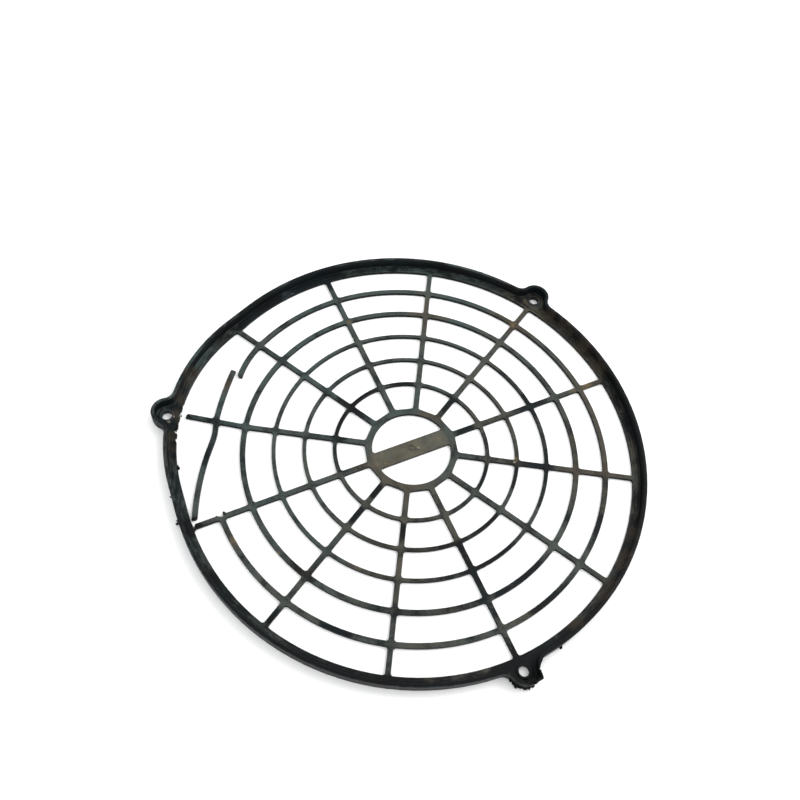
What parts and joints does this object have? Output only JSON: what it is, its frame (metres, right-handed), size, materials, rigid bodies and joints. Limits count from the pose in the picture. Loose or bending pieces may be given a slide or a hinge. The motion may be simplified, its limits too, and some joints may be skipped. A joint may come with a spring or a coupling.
{
  "type": "fan cover",
  "caption": "Round moulded fan cover: an open grille of rings and spokes with a hub bar, inside a flat flange with a low wall and three screw lugs, cracked and torn on one side.",
  "frame": {"origin": "centre of the bolt circle and of the hub, on the flat underside", "axes": "+Z from the underside towards the wall's open edge, +Y towards the first lug, whose wall is whole"},
  "size_m": [0.2398, 0.247, 0.0076],
  "materials": {
    "moulding": "fine satin black, dusty"
  },
  "bodies": {
    "root": {"fan_cover": "moulding"}
  },
  "joints": []
}
